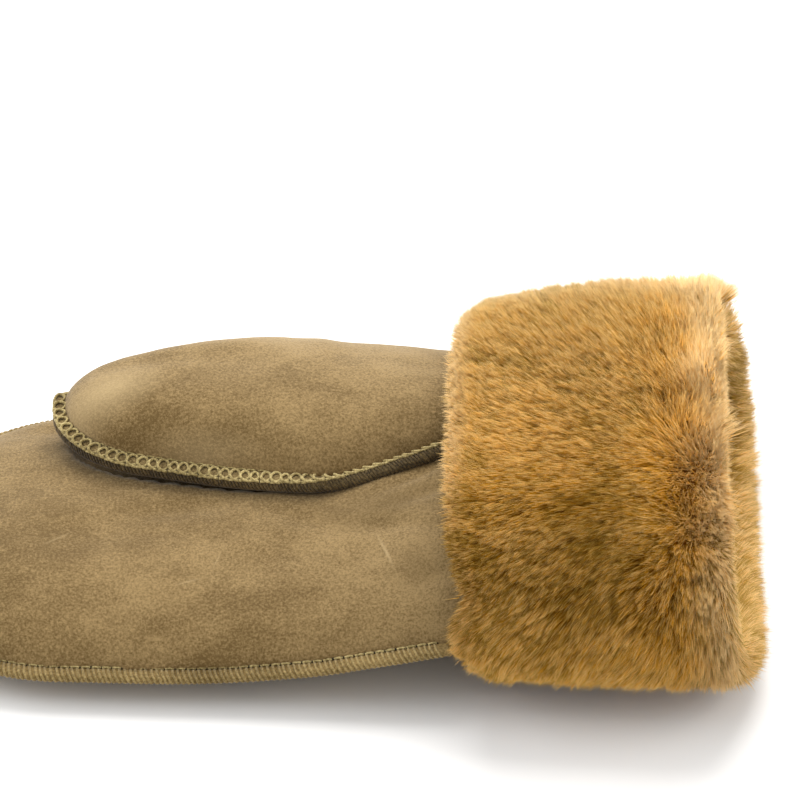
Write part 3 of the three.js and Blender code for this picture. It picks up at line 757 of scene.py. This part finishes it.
def lip_point(turn, angle, depth):
    """Round the lip of the mouth: turn 0 is outside and 1 inside. The lower and far lip stands out more."""
    outside = cuff_point(np.full_like(turn, LIP_START), angle, depth)
    inside = inner_point(np.full_like(turn, LIP_INSIDE), angle, depth)
    blend = (1 - np.cos(np.pi * turn)) / 2
    point = outside + (inside - outside) * blend[:, None]
    longer = smoothstep(0.3 - np.sin(angle) + 0.35 * np.cos(angle), 0, 0.7)
    point[:, 0] += np.sin(np.pi * turn) * (LIP_BODY + (LIP_PILE + LIP_LONGER * longer) * depth)
    return point


def pile_material(name, roughness):
    """Fur shaded by its own colour, which each hair carries from root to tip."""
    material = bpy.data.materials.new(name)
    material.use_nodes = True
    nodes, links = material.node_tree.nodes, material.node_tree.links
    shader = nodes["Principled BSDF"]
    shader.inputs["Roughness"].default_value = roughness
    shader.inputs["Specular IOR Level"].default_value = 0.02
    shader.inputs["Sheen Weight"].default_value = 0.06
    shader.inputs["Sheen Roughness"].default_value = 0.25
    shader.inputs["Sheen Tint"].default_value = (1.0, 0.8, 0.5, 1)
    tone = nodes.new("ShaderNodeAttribute")
    tone.attribute_name = "pile"
    links.new(tone.outputs["Color"], shader.inputs["Base Color"])
    return material


pile = pile_material("sheepskin_pile", 0.6)
# The under-wool is dark brown: partly the pile's deeper colour and partly painted shade between the hairs
under_wool_and_shade = suede("under_wool_and_shade", (0.1, 0.038, 0.003), (0.3, 0.135, 0.012), 2.0, 0.0)


def tufts(u, v, size, seed):
    """For points on a flat map: the nearest tuft's centre, its chance number, and how far off it is. The
    tufts stand one to a cell, each pushed off its cell's middle by a hash of the cell's numbers."""
    best, centre, chance = np.full(len(u), 1e9), np.zeros((len(u), 2)), np.zeros(len(u))
    cell_u, cell_v = np.floor(u / size), np.floor(v / size)
    for du in (-1, 0, 1):
        for dv in (-1, 0, 1):
            cu, cv = cell_u + du, cell_v + dv
            key = cu * 127.1 + cv * 311.7 + seed * 74.7
            r = [np.modf(np.abs(np.sin(key + k * 19.3)) * 43758.5453)[0] for k in range(3)]
            pu, pv = (cu + 0.1 + 0.8 * r[0]) * size, (cv + 0.1 + 0.8 * r[1]) * size
            far = (pu - u) ** 2 + (pv - v) ** 2
            near = far < best
            best = np.where(near, far, best)
            centre[near, 0], centre[near, 1] = pu[near], pv[near]
            chance = np.where(near, r[2], chance)
    return centre, chance, np.sqrt(best) / size


def ripple(u, v, size, seed):
    """A smooth field from -1 to 1 over a flat map."""
    a = np.sin((u + v * 0.31) / size * 2.1 + seed * 1.7)
    a = a + np.sin((v * 1.13 - u * 0.47) / size * 1.7 + seed * 4.1)
    b = np.sin((u * 0.43 - v * 0.83) / size * 3.3 + seed * 2.3 + a) * 0.6
    return (a * 0.5 + b) / 1.6


def unit(v):
    """Vectors of length 1."""
    return v / np.maximum(np.linalg.norm(v, axis=-1, keepdims=True), 1e-9)


def hairs(name, root, tip, thick, out, root_tone, tip_tone):
    """Hairs as one mesh of three-sided spikes, whose shading leans outwards as the pile's surface does."""
    chance = np.random.default_rng(len(root))
    count = len(root)
    way = unit(tip - root)
    first = unit(np.cross(way, unit(chance.normal(size=(count, 3)))))
    second = np.cross(way, first)
    turn = np.arange(3) * 2 * np.pi / 3
    ring = first[:, None] * np.cos(turn)[None, :, None] + second[:, None] * np.sin(turn)[None, :, None]
    points = np.concatenate([root[:, None] + ring * thick[:, None, None], tip[:, None]], 1)
    points[:, :, 2] = np.maximum(points[:, :, 2], 0.02)
    tones = np.concatenate([np.repeat(root_tone[:, None], 3, 1), tip_tone[:, None]], 1)
    leans = np.concatenate([ring * 0.35 + out[:, None], out[:, None] + way[:, None] * 0.3], 1)
    mesh = bpy.data.meshes.new(name)
    mesh.vertices.add(count * 4)
    mesh.vertices.foreach_set("co", ((points.reshape(-1, 3) + ORIGIN) * MM).ravel())
    mesh.loops.add(count * 9)
    corners = np.array([0, 1, 3, 1, 2, 3, 2, 0, 3])
    mesh.loops.foreach_set("vertex_index", (np.arange(count)[:, None] * 4 + corners).ravel())
    mesh.polygons.add(count * 3)
    mesh.polygons.foreach_set("loop_start", np.arange(count * 3) * 3)
    mesh.polygons.foreach_set("use_smooth", np.ones(count * 3, bool))
    mesh.update()
    mesh.validate()
    mesh.normals_split_custom_set_from_vertices(unit(leans).reshape(-1, 3))
    colours = mesh.color_attributes.new("pile", "FLOAT_COLOR", "POINT")
    colours.data.foreach_set("color", np.concatenate([tones, np.ones((count, 4, 1))], 2).ravel())
    mesh.materials.append(pile)
    piece = bpy.data.objects.new(name, mesh)
    bpy.context.collection.objects.link(piece)
    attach(piece, "root")


LOCK_SIZE, TUFT_SIZE = 6.5, 1.6
LOCK_PULL, TUFT_PULL = 0.1, 0.34  # how far the tips are drawn to the middles of their lock and tuft
MAP_SHIFT = 500
STRAY_SHARE, GUARD_SHARE = 0.02, 0.36
GUARD_RADIUS, PILE_RADIUS = 0.095, 0.18
SHADE_POWERS = np.array((0.75, 0.9, 1.9))  # shaded hairs lose blue first, as pile does


def grow(name, form, u_range, angles, count, seed, lay, look, scale=1.0):
    """Fur over form(u, angle, depth). lay gives how far the tips hang along u and round the form, how much
    lower they stand and how tangled they are; look gives how dark and how pale the hairs are, which carries
    painted light and shade, and how much they catch light from above. scale is how many millimetres one
    step of u is."""
    chance = np.random.default_rng(seed)
    low, high = u_range
    fine = np.linspace(-0.3 * np.pi, 2.3 * np.pi, 1300)
    ring = form(np.full_like(fine, (low + high) / 2), fine, 0.5)
    arc = np.concatenate([[0], np.cumsum(np.linalg.norm(np.diff(ring, axis=0), axis=1))])
    u, s = chance.uniform(low, high, count), chance.uniform(*np.interp(angles, fine, arc), count)
    angle = np.interp(s, arc, fine)
    flow = 0.5 * ripple(u * scale, s, 30, 3) + 0.35 * ripple(u * scale, s, 11, 4)
    hang, comb, lower, tangled = lay(u, angle)
    hang = hang + tangled * 4.5 * ripple(u * scale, s, 12, 9)
    comb = comb + tangled * 5.0 * ripple(u * scale, s, 14, 10)
    stray = chance.uniform(size=count) < STRAY_SHARE
    messy = np.where(stray, 1.7, 0.8) + 1.3 * tangled
    tip_u = u * scale + hang * (1 + 0.35 * flow) + messy * chance.normal(size=count) + 1.2 * flow
    tip_s = s + comb * (1 - 0.3 * flow) - 1.2 * flow + messy * chance.normal(size=count)
    big, big_chance, big_far = tufts(tip_u + MAP_SHIFT, tip_s + MAP_SHIFT, LOCK_SIZE, 1)
    small, small_chance, small_far = tufts(tip_u + MAP_SHIFT, tip_s + MAP_SHIFT, TUFT_SIZE, 2)
    tip_u += LOCK_PULL * (big[:, 0] - MAP_SHIFT - tip_u) + TUFT_PULL * (small[:, 0] - MAP_SHIFT - tip_u)
    tip_s += LOCK_PULL * (big[:, 1] - MAP_SHIFT - tip_s) + TUFT_PULL * (small[:, 1] - MAP_SHIFT - tip_s)
    taller = 0.1 * (big_chance - 0.5) + 0.14 * (small_chance - 0.5) - 0.12 * big_far**2 - 0.2 * small_far**2
    height = 1.03 * (1 + taller)
    height += 0.05 * chance.normal(size=count) - lower
    root = form(u, angle, np.full(count, 0.15))
    inside_u = np.clip(tip_u / scale, low, high)
    tip = form(inside_u, np.interp(tip_s, arc, fine), height)
    out = unit(form(u, angle, np.full(count, 1.0)) - root)
    over = tip_u - inside_u * scale
    if form is lip_point:
        over = np.minimum(over, 0)  # at its inner end the lip's pile lies down into the mouth
    tip[:, 0] += over
    tip -= out * (np.abs(over) * 0.3)[:, None]
    # Dark and pale from the look carry painted light and shade into the hairs' colours
    dark, pale, lit = look(u, angle)
    catching = out + lit[:, None] * (0, 0, 1)
    # Each hair's own random tone, with hairs at the edges of their tuft darker as painted shade between the
    # tufts, more so on the near lower side
    own_tint = 0.3 * (big_chance - 0.5) + 0.5 * (small_chance - 0.5) - 0.8 * small_far**2
    own_tint = own_tint + 0.26 * chance.normal(size=count)
    tint = 1.09 + own_tint * (1.1 + 0.5 * smoothstep(angle, 0.6 * np.pi, 0.8 * np.pi))
    tint *= (1 + 0.3 * ripple(u * scale, s, 19, 2) + 0.2 * ripple(u * scale, s, 7, 5)) * dark
    tint = np.clip(tint, 0.3, 1.5)[:, None]
    cream = np.clip(pale, 0, 1)[:, None]
    guard = (chance.uniform(size=count) < GUARD_SHARE) | stray
    guards = guard[:, None]
    own_root, own_tip = np.where(guards, PILE_TONE, ROOT_AND_GAP_SHADE_TONE), np.where(guards, GUARD_TONE, PILE_TONE)
    root = np.where(guards, root + (tip - root) * 0.5, root)
    tip = np.where(guards, tip + out * 0.8 + 0.45 * chance.normal(size=(count, 3)), tip)
    radius = np.where(guard, GUARD_RADIUS, PILE_RADIUS) * chance.uniform(0.7, 1.25, count)
    low_tone = (own_root + (PILE_TONE * 0.9 - own_root) * cream * 0.8) * tint
    high_tone = (own_tip + (CREAM_TONE - own_tip) * cream) * np.maximum(tint, 1) ** 0.8
    high_tone *= np.minimum(tint, 1) ** SHADE_POWERS
    high_tone /= np.maximum(high_tone.max(axis=1, keepdims=True), 1)
    hairs(name, root, tip, radius, unit(catching), low_tone, high_tone)


# How far the pile hangs towards the mouth and is combed round, at the free edge, and what the cuff's body
# and its turn by the mouth add to that
EDGE_HANG, BODY_HANG, MOUTH_HANG = -4.4, -3.4, 10.6
EDGE_COMB, BODY_COMB, MOUTH_COMB = 2.4, 3.6, -1.5
# The crease's way round the cuff in degrees, against x
CREASE = ((16, 38, 57, 75, 92), (184, 194, 187, 172, 155))
CUFF_RADIUS = 45
# Painted light and shade in the pile's colour, against the turn round the cuff in half turns: brighter over
# the far shoulder and the top's far half, darker on the near shoulder
PAINTED_CUFF_SHADE = ((-0.2, 0.2, 0.45, 0.6, 0.75, 0.9, 1.1, 1.8), (1.0, 1.32, 1.48, 1.06, 0.72, 0.86, 1.0, 1.0))


def near_side(angle):
    """1 where the pile is combed down, fading out round the thumb side."""
    return smoothstep(np.sin(angle / 2), 0.15, 0.6)


def cuff_lay(u, angle):
    """Combed away from the mouth and down the near side, rounded at the free edge, parted at the crease
    and turned over by the mouth."""
    turn_over = smoothstep(u + 4 * np.sin(5 * angle + 1), 73, 91)
    body = smoothstep(u, 18, 34)
    hang = EDGE_HANG + BODY_HANG * body + MOUTH_HANG * turn_over
    comb = (EDGE_COMB + BODY_COMB * body + MOUTH_COMB * turn_over) * near_side(angle)
    off = (angle - np.radians(np.interp(u, *CREASE))) * CUFF_RADIUS
    parted = 0.28 * np.exp(-((off / 1.9) ** 2)) + 0.12 * smoothstep(off, 0, 2) * (1 - smoothstep(off, 5, 14))
    overhung = 0.06 * np.exp(-(((off + 5) / 4) ** 2))
    rounded = 0.42 * (1 - smoothstep(u, 14, 27)) ** 1.5
    return hang, comb, parted - overhung + rounded, smoothstep(u, 66, 80)


def cuff_look(u, angle):
    """Painted light and shade in the pile's colour: brighter over the far half and by the mouth, darker on
    the near shoulder and in a patch on the top's near half, with paler tips over the far side and a painted
    highlight along the far shoulder. The free edge is brighter and paler, and the mouth paler.
    """
    half_turn = angle / np.pi
    # Painted light and shade: a brightness factor round the cuff, a darker patch on the top's near half, and
    # brighter near the mouth
    dark = np.interp(half_turn, *PAINTED_CUFF_SHADE)
    dark *= 1 - 0.36 * np.exp(-(((u - 64) / 15) ** 2) - ((half_turn - 0.59) / 0.12) ** 2)
    near_lip = np.exp(-(((half_turn - 0.62) / 0.2) ** 2))
    dark *= (1 + (0.35 + 0.5 * near_lip) * smoothstep(u, 74, 86)) * (1.25 - 0.25 * smoothstep(u, 16, 26))
    dark *= 1 + 0.35 * smoothstep(half_turn, 0.62, 0.75) * (smoothstep(u, 60, 75) - 0.25)
    # Paler tips over the far side are painted light, and the pale band along the far shoulder is a painted
    # highlight
    mouth, painted_far_light = 0.9 * smoothstep(u, 82, 93), 0.12 * (1 - smoothstep(half_turn, 0.48, 0.6))
    edge = (0.7 - 0.4 * smoothstep(half_turn, 0.5, 0.7)) * (1 - smoothstep(u, 16, 25))
    shoulder = 0.55 * np.exp(-(((half_turn - 0.2) / 0.05) ** 2))
    pale = mouth + painted_far_light + edge + shoulder
    return dark, pale, (0.9 + 0.8 * near_lip) * smoothstep(u, 72, 86)


def lip_lay(turn, angle):
    """The lip's hairs bend over from the cuff's lay to stand out of the mouth."""
    comb = (4.5 - 2.5 * smoothstep(turn, 0, 0.5)) * near_side(angle)
    return 2.8 + 0 * turn, comb, 0 * turn, 1 - smoothstep(turn, 0.1, 0.6)


def lip_look(turn, angle):
    """Palest where the light falls on it from above, and darker underneath and inside."""
    upper = smoothstep(np.sin(angle), -0.1, 0.5)
    dark = (0.95 + 0.45 * upper) * (1 - 0.3 * smoothstep(turn, 0.4, 0.8))
    return dark, 0.65 + 0.3 * upper, 0.3 + 1.1 * upper


round_count = 220
fur_angles = np.linspace(0, 2 * np.pi, round_count, endpoint=False)


def wool_ring(form, along, depth):
    return form(np.full(round_count, float(along)), fur_angles, depth)


wool_rings = [wool_ring(cuff_point, x, depth) for x, depth in ((16, 0.03), (16, 0.2), (18, 0.36))]
wool_rings += [wool_ring(cuff_point, x, 0.6) for x in np.linspace(22, LIP_START, 26)]
wool_rings += [wool_ring(lip_point, t, 0.55) for t in np.linspace(0.08, 0.92, 12)]
wool_rings += [wool_ring(lip_point, t, 0.02) for t in np.linspace(0.92, 0.08, 10)]
wool_rings += [wool_ring(cuff_point, x, 0.02) for x in np.linspace(LIP_START - 1, 18, 20)]
felted_wool = closed_sleeve("felted_wool", wool_rings, under_wool_and_shade)
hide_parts("cuff_fur")
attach(felted_wool, "root")

# Name, the turn that it covers in half turns, and how many hairs
FUR_PARTS = (
    ("fur_thumb_side", -0.16, 0.14, 50000),
    ("fur_far_shoulder", 0.14, 0.3, 66000),
    ("fur_palm_side_far", 0.3, 0.48, 66000),
    ("fur_palm_side_near", 0.48, 0.66, 66000),
    ("fur_near_shoulder", 0.66, 0.84, 66000),
    ("fur_little_finger_side", 0.84, 1.12, 66000),
    ("fur_back_side", 1.12, 1.84, 40000),
)
for seed, (name, first, last, number) in enumerate(FUR_PARTS, 3):
    turns = (first * np.pi, last * np.pi)
    grow(name, cuff_point, (CUFF_START + 1, LIP_START), turns, number, seed, cuff_lay, cuff_look)
ALL_ROUND = (0, 2 * np.pi)
grow("fur_lip", lip_point, (0.0, 0.95), ALL_ROUND, 65000, 12, lip_lay, lip_look, scale=LIP_LENGTH)


# The fleece inside the mouth: the same sheepskin, its pile clipped to 5 mm, lining the wrist.
lining_rings = [wool_ring(inner_point, x, 0.05) for x in np.linspace(33, 88, 14)]
lining_rings += [wool_ring(inner_point, x, 0.6) for x in np.linspace(88, 33, 20)]
lining_wool = closed_sleeve("lining_wool", lining_rings, under_wool_and_shade)
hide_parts("fleece_lining")
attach(lining_wool, "root")


def fleece_lay(x, angle):
    """The clipped fleece leans a little towards the mouth."""
    none = 0 * x
    return 2.0 + none, none, none, none


def fleece_look(x, angle):
    none = 0 * x
    return 1.15 + none, 0.3 + none, none


FLEECE_RANGE = (36, 88)  # x, from where it goes out of sight to the lip
grow("lining_fleece", inner_point, FLEECE_RANGE, ALL_ROUND, 20000, 13, fleece_lay, fleece_look)


# The studio: a white table that runs on behind, a broad soft light over the far side, a weaker one from
# the front left, and pale surroundings.
bpy.ops.mesh.primitive_plane_add(size=6, location=(0, 0, 0))
table = bpy.context.object
table.name = "table"
bpy.ops.object.transform_apply(location=True, rotation=True, scale=True)
table_paint = bpy.data.materials.new("table_paint")
table_paint.use_nodes = True
table_paint.node_tree.nodes["Principled BSDF"].inputs["Base Color"].default_value = (0.9, 0.9, 0.9, 1)
table_paint.node_tree.nodes["Principled BSDF"].inputs["Roughness"].default_value = 0.9
table.data.materials.append(table_paint)


def softbox(name, width, watts, place_at, aim, tint):
    data = bpy.data.lights.new(name, "AREA")
    data.shape = "SQUARE"
    data.size = width
    data.energy = watts
    data.color = tint
    light = bpy.data.objects.new(name, data)
    light.location = place_at
    light.rotation_euler = (Vector(aim) - Vector(place_at)).to_track_quat("-Z", "Y").to_euler()
    bpy.context.collection.objects.link(light)


softbox("key", 1.1, 20, (0.1, 0.8, 1.0), (0, 0, 0), (1, 0.98, 0.95))
softbox("fill", 1.0, 8, (-1.1, 0.0, 0.6), (-0.05, 0, 0.02), (1, 1, 1))
softbox("side", 0.8, 6, (1.0, -0.1, 0.5), (0.05, 0, 0.02), (1, 0.97, 0.92))
surroundings = bpy.data.worlds.new("surroundings")
surroundings.use_nodes = True
surroundings.node_tree.nodes["Background"].inputs["Color"].default_value = (1, 1, 1, 1)
surroundings.node_tree.nodes["Background"].inputs["Strength"].default_value = 0.65
bpy.context.scene.world = surroundings
bpy.context.scene.view_settings.view_transform = "Standard"
